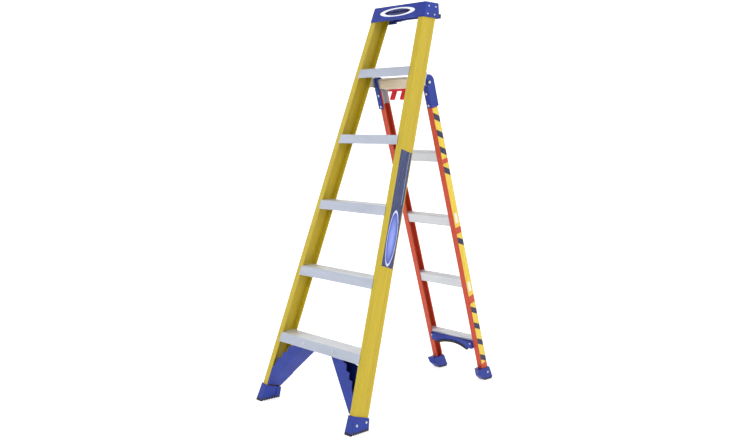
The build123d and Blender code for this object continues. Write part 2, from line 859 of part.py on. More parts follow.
def make_swing_pin():
    seat_x = plate_outer + washer_wall
    head = Pos(seat_x + pin_head_height / 2, 0, 0) * Rot(0, 90, 0) * Cylinder(pin_head_diameter / 2, pin_head_height)
    head = fillet(head.edges().group_by(Axis.X)[-1], pin_head_height / 2)
    pin = head + rod_x(pin_diameter, cheek_inner + pin_depth_in_cheek, seat_x + bite, 0, 0)
    return lean_rear(pin)


def make_washers():
    ring = rod_x(washer_diameter, plate_outer, plate_outer + washer_wall, 0, 0)
    ring -= rod_x(pin_diameter + 2 * hole_play, 0, far, 0, 0)
    ring = lean_rear(ring)
    return solids_of([ring, other_side(ring)])


def make_liner():
    outer = rear_half_width - rear_rail_wall - seat
    inner = rear_half_width - rear_rail_flange + liner_wall
    top = -rear_rail_drop
    liner = block(inner, outer, rung_front(), rung_back(), top - liner_length, top)
    liner -= block(-far, outer - liner_wall, rung_front() + liner_wall, rung_back() - liner_wall, -far, far)
    for place in bracket_rivet_places():
        liner -= place * rivet_hole(rivet_shank, hole_length)
    return lean_rear(liner)


# ---- Wall rest ----

def rest_bottom():
    return rung_top(0) - rest_below_rung_top - rest_height


def bow_radius(half, rise):
    """Radius of an arc from its half width and its rise."""
    return (half ** 2 + rise ** 2) / (2 * rise)


def rest_hollow(extra):
    """The upright cylinder that hollows the rest's front."""
    radius = bow_radius(rest_hollow_half, rest_end_reach - rest_middle_reach)
    centre = rung_front() - seat - rest_middle_reach - radius
    return Pos(0, centre, rest_bottom()) * Cylinder(radius + extra, 4 * rest_height)


def rest_arch(extra):
    """The lying cylinder that arches the rest's underside."""
    radius = bow_radius(rest_hollow_half, rest_arch_rise)
    height = rest_bottom() + rest_arch_rise - radius
    return Pos(0, rung_front(), height) * Rot(90, 0, 0) * Cylinder(radius + extra, 4 * rest_height)


def rest_rivet_places():
    """Through the rest's ends into the rung, in the rear frame, heads facing forwards."""
    x = rest_half_length - rest_rivet_inset
    face = rung_front() - seat - rest_end_reach
    top = rest_bottom() + rest_height - rest_rivet_margin
    return [Pos(side * x, face, top) * Rot(90, 0, 0) for side in (-1, 1)]


def rest_rivet_length():
    return rest_end_reach + seat + rung_wall


def rest_middle_space():
    return block(-rest_hollow_half, rest_hollow_half, -far, far, -far, far)


def make_rest():
    back = rung_front() - seat
    low = rest_bottom()
    rest = block(-rest_half_length, rest_half_length, back - rest_end_reach, back, low, low + rest_height)
    rest = fillet(rest.edges().filter_by(Axis.Z).group_by(Axis.Y)[0], rest_corner)
    rest -= (rest_hollow(0) + rest_arch(0)) & rest_middle_space()
    for place in rest_rivet_places():
        rest -= place * rivet_hole(small_rivet_shank, rest_rivet_length() + bite)
    return lean_rear(rest)


def make_rest_grip():
    back = rung_front() - seat
    low = rest_bottom()
    half = rest_hollow_half - seat
    grip = block(-half, half, back - rest_end_reach, back - bite, low - grip_height, low + rest_height)
    grip = grip & rest_hollow(grip_wall) & rest_arch(-seat)
    grip -= rest_hollow(-grip_proud) + rest_arch(-grip_height)
    radius = bow_radius(rest_hollow_half, rest_end_reach - rest_middle_reach)
    reach = radius - grip_proud
    centre = back - rest_middle_reach - radius
    count = int(2 * math.asin(rest_hollow_half / radius) * radius / grip_tooth_pitch)
    for tooth in range(count):
        angle = (tooth - (count - 1) / 2) * grip_tooth_pitch / radius
        place = Pos(reach * math.sin(angle), centre + reach * math.cos(angle), low)
        grip -= place * Rot(0, 0, 45 - math.degrees(angle)) * Box(grip_tooth_depth, grip_tooth_depth, far)
    return lean_rear(grip)


def make_rest_rivets():
    return solids_of([lean_rear(place * small_rivet(rest_rivet_length())) for place in rest_rivet_places()])


# ---- Rear boots ----

def rear_boot_form():
    def above_ground(y, height):
        return y, rear_ground(y) + height

    tip = rear_face - rear_lip_reach
    heel = rear_back + rear_heel
    outline = [above_ground(tip, rear_lip_height), above_ground(rear_back + rear_boot_wall, rear_boot_height)]
    outline += [above_ground(heel, rear_heel_height), above_ground(rear_back + rear_boot_wall, 0)]
    outline += [(rear_back, -far), (rear_face, -far), above_ground(rear_face, 0)]
    outline += [above_ground(rear_face - rear_toe_reach, rear_toe_height)]
    outline += [above_ground(tip + rear_toe_reach / 2, rear_lip_bottom)]
    inner = rear_half_width - rear_rail_flange - rear_boot_inner_wall
    outer = rear_half_width + rear_boot_wall
    form = side_prism(outline, inner, outer)
    lip = [(inner, tip + rear_lip_slant), (outer, tip), (outer, far), (inner, far)]
    return lean_rear(form & plan_prism(lip, -far, far))


def make_rear_boot():
    boot = rear_boot_form() & slab(rear_sole, far)
    room = block(rear_half_width - rear_rail_flange - seat, rear_half_width + seat,
                 rear_face - seat, rear_back + seat, -far, 0)
    boot -= lean_rear(room) & slab(rail_end_height - seat, far)
    low = rear_ground(rear_face) + rear_slot_bottom
    slot_end = rear_face - rear_lip_reach + rear_slot_depth
    for x in (0, rear_slot_spacing):
        middle = rear_half_width - rear_rail_flange + rear_slot_width + x
        boot -= lean_rear(block(middle - rear_slot_width / 2, middle + rear_slot_width / 2, -far, slot_end,
                                low, low + rear_slot_height))
    boot -= lean_rear(rear_foot_rivet_place() * rivet_hole(rivet_shank, hole_length))
    return boot


def make_rear_foot_rivets():
    right = lean_rear(rear_foot_rivet_place() * large_rivet(rear_boot_wall + rear_rail_wall))
    return solids_of([right, other_side(right)])


# ---- Latch ----

def latch_axis():
    """Depth and height of the latch's pin in the rear frame."""
    return (rung_front() + rung_back()) / 2, -cross_bar_below - latch_drop


def lug_screw_places():
    """Up through the lugs' feet into the cross bar, in the rear frame, heads facing down."""
    depth, _ = latch_axis()
    x = latch_half_length + latch_lug_wall + lug_screw_inset
    low = -cross_bar_below - seat - latch_lug_wall
    return [Pos(side * x, depth, low) * Rot(180, 0, 0) for side in (-1, 1)]


def make_latch():
    depth, height = latch_axis()
    end = latch_half_length - spring_room
    latch = rod_x(latch_bar_diameter, -end, end, depth, height)
    lever = block(-lever_width / 2, lever_width / 2, -lever_wall / 2, lever_wall / 2, -lever_length, 0)
    lever = fillet(lever.edges().filter_by(Axis.Y).group_by(Axis.Z)[0], lever_wall)
    lever = fillet(lever.edges().filter_by(Axis.X).group_by(Axis.Z)[0], lever_wall / 3)
    for step in (-1, 0, 1):
        latch += Pos(step * lever_spacing, depth, height) * Rot(-lever_tilt, 0, 0) * lever
    latch -= rod_x(latch_pin_diameter + 2 * running, -far, far, depth, height)
    return lean_rear(latch)


def make_latch_lug():
    depth, height = latch_axis()
    half = latch_lug_width / 2
    top = -cross_bar_below - seat
    inner = latch_half_length
    outer = inner + latch_lug_wall
    lug = block(inner, outer, depth - half, depth + half, height, top)
    lug += rod_x(latch_lug_width, inner, outer, depth, height)
    lug += block(inner, outer + latch_lug_foot, depth - half, depth + half, top - latch_lug_wall, top)
    lug -= rod_x(latch_pin_diameter + 2 * hole_play, inner - bite, outer + bite, depth, height)
    lug -= lug_screw_places()[1] * rivet_hole(small_rivet_shank, short_hole)
    return lean_rear(lug)


def make_latch_pin():
    depth, height = latch_axis()
    end = latch_half_length + latch_lug_wall + seat
    pin = rod_x(latch_pin_diameter, -end - bite, end + bite, depth, height)
    head = rod_x(latch_pin_head, end, end + latch_pin_head_height, depth, height)
    return lean_rear(pin + head + other_side(head))


def make_latch_springs():
    depth, height = latch_axis()
    radius = latch_pin_diameter / 2 + spring_wire
    length = spring_room - 2 * seat - spring_wire
    coil = Helix(pitch=length / spring_turns, height=length, radius=radius)
    section = Plane(origin=coil @ 0, z_dir=coil % 0) * Circle(spring_wire / 2)
    wire = sweep(section, path=coil, is_frenet=True)
    start = latch_half_length - spring_room + seat + spring_wire / 2
    spring = lean_rear(Pos(start, depth, height) * Rot(0, 90, 0) * wire)
    return solids_of([spring, other_side(spring)])


def make_lug_screws():
    length = latch_lug_wall + seat + rung_wall
    return solids_of([lean_rear(place * small_rivet(length)) for place in lug_screw_places()])


# ---- The whole ladder ----

def pair(name, right):
    """A right-hand piece and its mirror image."""
    return {name + "_right": right, name + "_left": other_side(right)}


nodes = {}
nodes.update(pair("front_rail", make_front_rail()))
for number in range(tread_count):
    nodes[f"tread_{number + 1}"] = make_tread(number)
nodes["tread_rivets"] = make_tread_rivets()
nodes["top_cap"] = make_cap()
nodes["cap_rivets"] = make_cap_rivets()
nodes["cap_badge"] = make_badge()
nodes["cap_wall_pad"] = make_cap_wall_pad()
nodes.update(pair("knee_brace", make_brace()))
nodes["knee_brace_rivets"] = make_brace_rivets()
nodes.update(pair("front_foot", make_front_boot()))
nodes.update(pair("front_foot_pad", make_sole(front_boot_form(), front_sole, front_tooth_pitch)))
nodes["front_foot_rivets"] = make_front_foot_rivets()
nodes.update(pair("hinge_ear", make_ear()))
nodes["hinge_ear_rivets"] = make_ear_rivets()
nodes.update(pair("rear_rail", make_rear_rail()))
for number in range(rung_count):
    nodes[f"rung_{number + 1}"] = make_rung(number)
nodes["rung_rivets"] = make_rung_rivets()
nodes["top_cross_bar"] = make_cross_bar()
nodes.update(pair("hinge_bracket", make_bracket()))
nodes["hinge_bracket_rivets"] = make_bracket_rivets()
nodes.update(pair("rail_liner", make_liner()))
nodes.update(pair("swing_pin", make_swing_pin()))
nodes["swing_washers"] = make_washers()
nodes["wall_rest"] = make_rest()
nodes["wall_rest_grip"] = make_rest_grip()
nodes["wall_rest_rivets"] = make_rest_rivets()
nodes.update(pair("rear_foot", make_rear_boot()))
nodes.update(pair("rear_foot_pad", make_sole(rear_boot_form(), rear_sole, rear_tooth_pitch)))
nodes["rear_foot_rivets"] = make_rear_foot_rivets()
nodes["latch"] = make_latch()
nodes.update(pair("latch_lug", make_latch_lug()))
nodes["latch_pin"] = make_latch_pin()
nodes["latch_springs"] = make_latch_springs()
nodes["latch_lug_screws"] = make_lug_screws()

boxes = [shape.bounding_box() for shape in nodes.values()]
middle_y = (min(b.min.Y for b in boxes) + max(b.max.Y for b in boxes)) / 2

os.makedirs("parts", exist_ok=True)
for name, shape in nodes.items():
    export_step(Pos(0, -middle_y, 0) * shape, f"parts/{name}.step")
print("swing axis:", round(-middle_y, 3), pivot_height)
print("footprint depth:", round(max(b.max.Y for b in boxes) - min(b.min.Y for b in boxes), 1))
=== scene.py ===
import math

import bmesh
import bpy
from mathutils import Matrix, Vector


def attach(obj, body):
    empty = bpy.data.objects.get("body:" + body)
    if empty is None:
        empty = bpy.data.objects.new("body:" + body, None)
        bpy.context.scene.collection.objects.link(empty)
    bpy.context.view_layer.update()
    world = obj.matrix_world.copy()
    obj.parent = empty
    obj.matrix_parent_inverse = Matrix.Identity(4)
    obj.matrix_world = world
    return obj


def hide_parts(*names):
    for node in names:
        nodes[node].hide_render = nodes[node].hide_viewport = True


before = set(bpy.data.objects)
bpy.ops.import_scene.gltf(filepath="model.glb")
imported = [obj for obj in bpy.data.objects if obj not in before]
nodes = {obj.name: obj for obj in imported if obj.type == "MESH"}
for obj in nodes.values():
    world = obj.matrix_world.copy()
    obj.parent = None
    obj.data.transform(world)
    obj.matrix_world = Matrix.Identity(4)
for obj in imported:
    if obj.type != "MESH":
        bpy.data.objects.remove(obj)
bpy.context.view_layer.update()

# ---- Sizes that follow the ladder, in metres and degrees ----
FRONT_BASE_Y = -0.51889
FRONT_TILT = 17.2
RAIL_LEAN = 4.8
BASE_HALF_WIDTH = 0.309
GROOVE = (0.020, 0.056)
GROOVE_DEPTH = 0.0008
SWING_Y = 0.03804
SWING_HEIGHT = 1.395
REAR_TILT = 17.7
REAR_HALF_WIDTH = 0.160
REAR_FACE = -0.009
REAR_DEPTH = 0.040
CAP_TOP = 1.735
FILM = 0.00025

front_frame = Matrix.Translation((0, FRONT_BASE_Y, 0)) @ Matrix.Rotation(math.radians(-FRONT_TILT), 4, "X")


def rail_frame(side):
    """The frame of a front rail: its origin on the ground at the rail's outer face."""
    sign = 1 if side == "right" else -1
    lean = Matrix.Rotation(math.radians(-sign * RAIL_LEAN), 4, "Y")
    return front_frame @ Matrix.Translation((sign * BASE_HALF_WIDTH, 0, 0)) @ lean


rear_frame = Matrix.Translation((0, SWING_Y, SWING_HEIGHT)) @ Matrix.Rotation(math.radians(REAR_TILT), 4, "X")
mirror_x = Matrix.Scale(-1, 4, (1, 0, 0))


# ---- Camera ----
CAMERA_PLACE = (2.6755, -2.6529, 1.1592)
CAMERA_TURN = (46.51, 5.635, 0.736)
CAMERA_LENS = 40.57
CAMERA_SENSOR = 36


def make_camera():
    """Yaw is measured from +Y towards -X, pitch downwards and roll clockwise."""
    yaw, pitch, roll = (math.radians(angle) for angle in CAMERA_TURN)
    ahead = Vector((-math.sin(yaw) * math.cos(pitch), math.cos(yaw) * math.cos(pitch), -math.sin(pitch)))
    level = Vector((math.cos(yaw), math.sin(yaw), 0))
    up = level.cross(ahead)
    right = math.cos(roll) * level + math.sin(roll) * up
    above = math.cos(roll) * up - math.sin(roll) * level
    data = bpy.data.cameras.new("camera")
    data.sensor_width = CAMERA_SENSOR
    data.lens = CAMERA_LENS
    data.clip_start = 0.05
    data.clip_end = 60
    camera = bpy.data.objects.new("camera", data)
    bpy.context.scene.collection.objects.link(camera)
    turn = Matrix((right, above, -ahead)).transposed().to_4x4()
    camera.matrix_world = Matrix.Translation(CAMERA_PLACE) @ turn
    bpy.context.scene.camera = camera


# ---- Node helpers ----
def add(tree, kind, inputs=None, **settings):
    """A new node; an input may be a number, a colour or another node's socket."""
    node = tree.nodes.new(kind)
    for key, value in settings.items():
        setattr(node, key, value)
    for key, value in (inputs or {}).items():
        if isinstance(value, bpy.types.NodeSocket):
            tree.links.new(value, node.inputs[key])
        else:
            node.inputs[key].default_value = value
    return node


def calc(tree, operation, first, second=0.0):
    return add(tree, "ShaderNodeMath", {0: first, 1: second}, operation=operation).outputs[0]


def spread(tree, value, low, high, new_low=0.0, new_high=1.0):
    """A value carried from one range to another and held inside it."""
    inputs = {"Value": value, "From Min": low, "From Max": high, "To Min": new_low, "To Max": new_high}
    return add(tree, "ShaderNodeMapRange", inputs).outputs["Result"]


def blend_colour(tree, share, first, second, how="MIX"):
    mix = add(tree, "ShaderNodeMix", data_type="RGBA", blend_type=how)
    for socket, value in ((mix.inputs[0], share), (mix.inputs[6], first), (mix.inputs[7], second)):
        if isinstance(value, bpy.types.NodeSocket):
            tree.links.new(value, socket)
        else:
            socket.default_value = value
    return mix.outputs[2]


def noise(tree, place, scale, detail=3.0, rough=0.5):
    inputs = {"Vector": place, "Scale": scale, "Detail": detail, "Roughness": rough}
    return add(tree, "ShaderNodeTexNoise", inputs).outputs["Fac"]


def object_place(tree):
    return add(tree, "ShaderNodeTexCoord").outputs["Object"]


def local_place(tree, own_frame):
    """Object coordinates turned into a piece's own frame."""
    back = own_frame.inverted()
    inputs = {"Vector": object_place(tree), "Location": back.to_translation(), "Rotation": back.to_euler()}
    return add(tree, "ShaderNodeMapping", inputs).outputs["Vector"]


def stretched(tree, place, scales):
    return add(tree, "ShaderNodeMapping", {"Vector": place, "Scale": scales}).outputs["Vector"]


def rgb(red, green, blue):
    """A colour given as it looks on screen, from 0 to 255."""
    def straight(level):
        level /= 255
        return level / 12.92 if level <= 0.04045 else ((level + 0.055) / 1.055) ** 2.4
    return (straight(red), straight(green), straight(blue), 1.0)


def new_finish(name):
    material = bpy.data.materials.new(name)
    material.use_nodes = True
    tree = material.node_tree
    return material, tree, tree.nodes["Principled BSDF"]


def bump_from(tree, height, strength, distance, normal=None):
    inputs = {"Height": height, "Strength": strength, "Distance": distance}
    if normal is not None:
        inputs["Normal"] = normal
    return add(tree, "ShaderNodeBump", inputs).outputs["Normal"]


def edge_mask(tree, radius):
    """1 along sharp edges, 0 on flat ground, and the softened normal itself."""
    soft = add(tree, "ShaderNodeBevel", {"Radius": radius}, samples=4).outputs["Normal"]
    flat = add(tree, "ShaderNodeNewGeometry").outputs["Normal"]
    match = add(tree, "ShaderNodeVectorMath", {0: soft, 1: flat}, operation="DOT_PRODUCT").outputs["Value"]
    return spread(tree, match, 0.995, 0.80), soft


# ---- Finishes ----
def fibreglass(name, own_frame, face, deep, line=None):
    """Pultruded glass fibre: long strands in the resin, a satin skin and rubbed corners."""
    material, tree, shader = new_finish(name)
    link = tree.links.new
    place = local_place(tree, own_frame)
    strands = noise(tree, stretched(tree, place, (420, 420, 5)), 1.0, 4.0, 0.6)
    cloudy = noise(tree, stretched(tree, place, (16, 16, 3)), 1.0, 2.0)
    speckle = noise(tree, place, 1400.0, 1.0)
    colour = blend_colour(tree, spread(tree, strands, 0.35, 0.70), face, deep)
    colour = blend_colour(tree, spread(tree, cloudy, 0.40, 0.75, 0.0, 0.35), colour, deep)
    colour = blend_colour(tree, spread(tree, speckle, 0.55, 0.75, 0.0, 0.10), colour, rgb(255, 250, 225))
    # painted shade: a darker orange line along each edge of the web's groove
    if line is not None:
        across = add(tree, "ShaderNodeSeparateXYZ", {"Vector": place}).outputs["Y"]
        for edge in GROOVE:
            gap = calc(tree, "ABSOLUTE", calc(tree, "SUBTRACT", across, edge))
            colour = blend_colour(tree, spread(tree, gap, 0.0022, 0.0004, 0.0, 0.55), colour, line)
    edges, soft = edge_mask(tree, 0.0012)
    colour = blend_colour(tree, calc(tree, "MULTIPLY", edges, 0.18), colour, rgb(250, 235, 190))
    link(colour, shader.inputs["Base Color"])
    link(spread(tree, strands, 0.3, 0.7, 0.34, 0.46), shader.inputs["Roughness"])
    fine = noise(tree, stretched(tree, place, (1900, 1900, 30)), 1.0, 3.0)
    link(bump_from(tree, fine, 0.22, 0.0003, soft), shader.inputs["Normal"])
    shader.inputs["Specular IOR Level"].default_value = 0.32
    shader.inputs["Coat Weight"].default_value = 0.05
    shader.inputs["Coat Roughness"].default_value = 0.30
    return material


def drawn_aluminium(name, top, painted_upright_shade):
    """Mill finish extrusion: die lines along X, handling marks and faint bloom, with painted shade on upright
    faces, which take a darker colour than the tops.
    """
    material, tree, shader = new_finish(name)
    link = tree.links.new
    place = object_place(tree)
    die_lines = noise(tree, stretched(tree, place, (2.5, 1300, 1300)), 1.0, 3.0, 0.6)
    bloom = noise(tree, stretched(tree, place, (9, 22, 22)), 1.0, 3.0)
    marks = noise(tree, stretched(tree, place, (160, 500, 90)), 1.0, 2.0, 0.7)
    facing = add(tree, "ShaderNodeTexCoord").outputs["Normal"]
    upward = add(tree, "ShaderNodeSeparateXYZ", {"Vector": facing}).outputs["Z"]
    # painted shade: faces that look up take the pale top colour, upright faces the darker painted-shade
    # colour
    colour = blend_colour(tree, spread(tree, upward, 0.45, 0.75), painted_upright_shade, top)
    shaded = blend_colour(tree, 1.0, colour, (0.74, 0.76, 0.78, 1), "MULTIPLY")
    colour = blend_colour(tree, spread(tree, die_lines, 0.30, 0.70, 0.0, 0.6), colour, shaded)
    colour = blend_colour(tree, spread(tree, bloom, 0.45, 0.75, 0.0, 0.4), colour, shaded)
    edges, soft = edge_mask(tree, 0.0010)
    colour = blend_colour(tree, calc(tree, "MULTIPLY", edges, 0.4), colour, (0.93, 0.93, 0.94, 1))
    link(colour, shader.inputs["Base Color"])
    rough = spread(tree, die_lines, 0.25, 0.75, 0.36, 0.50)
    rough = calc(tree, "ADD", rough, spread(tree, marks, 0.60, 0.75, 0.0, 0.10))
    link(rough, shader.inputs["Roughness"])
    link(bump_from(tree, die_lines, 0.25, 0.0002, soft), shader.inputs["Normal"])
    shader.inputs["Metallic"].default_value = 0.55
    return material


def plated_metal(name, shade, rough_low, rough_high, metallic=1.0):
    """Rivets, pins and pressed steel: crystalline plating with a little tarnish."""
    material, tree, shader = new_finish(name)
    link = tree.links.new
    place = object_place(tree)
    crystals = add(tree, "ShaderNodeTexVoronoi", {"Vector": place, "Scale": 420.0}).outputs["Color"]
    value = add(tree, "ShaderNodeSeparateColor", {"Color": crystals}).outputs["Red"]
    tarnish = noise(tree, place, 90.0, 3.0)
    dull = tuple(0.72 * c for c in shade[:3]) + (1.0,)
    colour = blend_colour(tree, spread(tree, value, 0.0, 1.0, 0.0, 0.25), shade, dull)
    colour = blend_colour(tree, spread(tree, tarnish, 0.5, 0.8, 0.0, 0.5), colour, dull)
    edges, soft = edge_mask(tree, 0.0006)
    link(blend_colour(tree, calc(tree, "MULTIPLY", edges, 0.3), colour, (0.95, 0.95, 0.95, 1)),
         shader.inputs["Base Color"])
    link(spread(tree, tarnish, 0.3, 0.8, rough_low, rough_high), shader.inputs["Roughness"])
    link(bump_from(tree, tarnish, 0.15, 0.0002, soft), shader.inputs["Normal"])
    shader.inputs["Metallic"].default_value = metallic
    return material


def moulded_plastic(name, face, deep, scuff, grain=900.0):
    """Injection moulding: spark-eroded grain, slight flow shading, scuffs and pale worn corners."""
    material, tree, shader = new_finish(name)
    link = tree.links.new
    place = object_place(tree)
    flow = noise(tree, place, 14.0, 3.0, 0.55)
    texture = noise(tree, place, grain, 2.0, 0.6)
    scratches = noise(tree, stretched(tree, place, (60, 700, 240)), 1.0, 2.0, 0.7)
    colour = blend_colour(tree, spread(tree, flow, 0.35, 0.70), face, deep)
    colour = blend_colour(tree, spread(tree, scratches, 0.66, 0.78, 0.0, 0.25), colour, scuff)
    edges, soft = edge_mask(tree, 0.0018)
    worn = calc(tree, "MULTIPLY", edges, spread(tree, flow, 0.35, 0.65, 0.15, 0.55))
    colour = blend_colour(tree, worn, colour, scuff)
    link(colour, shader.inputs["Base Color"])
    link(spread(tree, texture, 0.3, 0.7, 0.38, 0.52), shader.inputs["Roughness"])
    shader.inputs["Specular IOR Level"].default_value = 0.34
    link(bump_from(tree, texture, 0.20, 0.0002, soft), shader.inputs["Normal"])
    return material


def moulded_rubber(name, face, dusty, worn):
    """Rubber with settled dust and greyed corners."""
    material, tree, shader = new_finish(name)
    link = tree.links.new
    place = object_place(tree)
    dust = noise(tree, place, 26.0, 4.0, 0.6)
    grain = noise(tree, place, 1100.0, 2.0)
    edges, soft = edge_mask(tree, 0.0015)
    colour = blend_colour(tree, spread(tree, dust, 0.45, 0.8, 0.0, 0.6), face, dusty)
    colour = blend_colour(tree, calc(tree, "MULTIPLY", edges, 0.4), colour, worn)
    link(colour, shader.inputs["Base Color"])
    link(spread(tree, dust, 0.3, 0.8, 0.62, 0.88), shader.inputs["Roughness"])
    link(bump_from(tree, grain, 0.3, 0.0003, soft), shader.inputs["Normal"])
    return material


def printed_film(name, ink, faded):
    """A glossy printed label: even ink, fine print screen and rubbed patches."""
    material, tree, shader = new_finish(name)
    link = tree.links.new
    place = object_place(tree)
    rubbed = noise(tree, stretched(tree, place, (30, 30, 8)), 1.0, 4.0, 0.6)
    screen = noise(tree, place, 2600.0, 1.0)
    colour = blend_colour(tree, spread(tree, rubbed, 0.45, 0.80, 0.0, 0.5), ink, faded)
    colour = blend_colour(tree, spread(tree, screen, 0.45, 0.75, 0.0, 0.12), colour, faded)
    link(colour, shader.inputs["Base Color"])
    link(spread(tree, rubbed, 0.3, 0.8, 0.22, 0.42), shader.inputs["Roughness"])
    link(bump_from(tree, screen, 0.05, 0.0001), shader.inputs["Normal"])
    return material


# ---- Mesh helpers ----
def finished_piece(name, mesh, body, materials):
    """Turns a bmesh into a named piece with its place in its mesh."""
    bmesh.ops.recalc_face_normals(mesh, faces=mesh.faces)
    data = bpy.data.meshes.new(name)
    mesh.to_mesh(data)
    mesh.free()
    for material in materials:
        data.materials.append(material)
    piece = bpy.data.objects.new(name, data)
    bpy.context.scene.collection.objects.link(piece)
    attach(piece, body)
    return piece


def plate(mesh, x0, x1, y0, y1, z0, z1):
    """A rectangular block; returns its geometry for bisecting."""
    made = bmesh.ops.create_cube(mesh, size=1.0)["verts"]
    bmesh.ops.scale(mesh, verts=made, vec=(x1 - x0, y1 - y0, z1 - z0))
    bmesh.ops.translate(mesh, verts=made, vec=((x0 + x1) / 2, (y0 + y1) / 2, (z0 + z1) / 2))
    return made


# ---- Labels on the rear rails ----
# each film's start and end below the swing axis, the tops of its dark bands at their front edge,
# and the top and bottom of its pale panel
REAR_LABELS = (
    (0.116, 0.348, (0.133, 0.209, 0.285), None),
    (0.370, 0.675, (0.379,), (0.607, 0.656)),
    (0.706, 1.020, (0.719,), (0.950, 0.997)),
    (1.058, 1.376, (1.070, 1.153, 1.237, 1.322), None),
)
LABEL_MARGIN = 0.0028
LABEL_FRONT = REAR_FACE + LABEL_MARGIN
LABEL_BACK = REAR_FACE + REAR_DEPTH - LABEL_MARGIN
BAND = 0.030
BAND_SLANT = 0.024
SLANT = BAND_SLANT / (LABEL_BACK - LABEL_FRONT)
PANEL_FRONT = LABEL_FRONT + 0.008
PANEL_BACK = LABEL_FRONT + 0.026


def band_depth(point):
    """How far below the swing axis a point is, with the bands' slant taken out."""
    return -point.z - (point.y - LABEL_FRONT) * SLANT


def cut(mesh, point, normal, faces=None):
    """Cuts a mesh, or some of its faces, along a plane."""
    faces = mesh.faces[:] if faces is None else faces
    edges = {edge for face in faces for edge in face.edges}
    verts = {vert for face in faces for vert in face.verts}
    bmesh.ops.bisect_plane(mesh, geom=[*faces, *edges, *verts], plane_co=point, plane_no=normal)


def make_rear_labels(side, turn):
    """Thin films on a rear rail's outside: slanted dark bands on yellow, and two pale panels."""
    mesh = bmesh.new()
    panels = []
    bands = []
    for start, end, tops, panel in REAR_LABELS:
        plate(mesh, REAR_HALF_WIDTH, REAR_HALF_WIDTH + FILM, LABEL_FRONT, LABEL_BACK, -end, -start)
        bands += tops
        if panel:
            panels.append(panel)
    for top in bands:
        for depth in (top, top + BAND):
            cut(mesh, (0, LABEL_FRONT, -depth), Vector((0, SLANT, 1)).normalized())
    for top, bottom in panels:
        for depth in (top, bottom):
            cut(mesh, (0, 0, -depth), (0, 0, 1))
        for y in (PANEL_FRONT, PANEL_BACK):
            inside = [f for f in mesh.faces if top < -f.calc_center_median().z < bottom]
            cut(mesh, (0, y, 0), (0, 1, 0), inside)
    for face in mesh.faces:
        centre = face.calc_center_median()
        if any(top < band_depth(centre) < top + BAND for top in bands):
            face.material_index = 1
        for top, bottom in panels:
            if top < -centre.z < bottom and PANEL_FRONT < centre.y < PANEL_BACK:
                face.material_index = 2
    bmesh.ops.transform(mesh, matrix=turn @ rear_frame, verts=mesh.verts)
    return finished_piece(f"rear_rail_labels_{side}", mesh, "rear_section",
                          [warning_yellow, warning_navy, pale_panel])


# ---- Labels on the front rails ----
STRIP_START = 0.676
STRIP_END = 1.168
STRIP_FRONT = 0.0045
STRIP_BACK = 0.0705
OVAL_CENTRE = (0.0370, 0.797)
OVAL_HALF = (0.0270, 0.117)
LINE_ACROSS = 0.0575
LINE_START = 0.940
STRIP_LIFT = 0.00005
STEP_WIDTH = 0.0001


def strip_film(name, own_frame):
    """Dark blue film with a pale-rimmed oval field and a fine pale line, with no lettering."""
    material, tree, shader = new_finish(name)
    link = tree.links.new
    place = local_place(tree, own_frame)
    parts = add(tree, "ShaderNodeSeparateXYZ", {"Vector": place})
    across, along = parts.outputs["Y"], parts.outputs["Z"]
    wide = calc(tree, "DIVIDE", calc(tree, "SUBTRACT", across, OVAL_CENTRE[0]), OVAL_HALF[0])
    tall = calc(tree, "DIVIDE", calc(tree, "SUBTRACT", along, OVAL_CENTRE[1]), OVAL_HALF[1])
    reach = calc(tree, "ADD", calc(tree, "MULTIPLY", wide, wide), calc(tree, "MULTIPLY", tall, tall))
    field = spread(tree, reach, 1.03, 0.97)
    rim = calc(tree, "MULTIPLY", field, spread(tree, reach, 0.80, 0.86))
    rubbed = noise(tree, stretched(tree, place, (30, 30, 8)), 1.0, 4.0, 0.6)
    screen = noise(tree, place, 2600.0, 1.0)
    glow = spread(tree, reach, 0.0, 0.8)
    centre = blend_colour(tree, glow, rgb(128, 146, 224), rgb(48, 62, 158))
    colour = blend_colour(tree, field, rgb(34, 46, 92), centre)
    colour = blend_colour(tree, rim, colour, rgb(196, 204, 240))
    off_line = calc(tree, "ABSOLUTE", calc(tree, "SUBTRACT", across, LINE_ACROSS))
    beyond_start = spread(tree, along, LINE_START, LINE_START + 0.002)
    line = calc(tree, "MULTIPLY", spread(tree, off_line, 0.0012, 0.0008), beyond_start)
    colour = blend_colour(tree, calc(tree, "MULTIPLY", line, 0.8), colour, rgb(176, 186, 222))
    colour = blend_colour(tree, spread(tree, rubbed, 0.5, 0.85, 0.0, 0.3), colour, rgb(96, 108, 160))
    colour = blend_colour(tree, spread(tree, screen, 0.5, 0.75, 0.0, 0.08), colour, rgb(170, 180, 220))
    link(colour, shader.inputs["Base Color"])
    link(spread(tree, rubbed, 0.3, 0.8, 0.22, 0.40), shader.inputs["Roughness"])
    return material


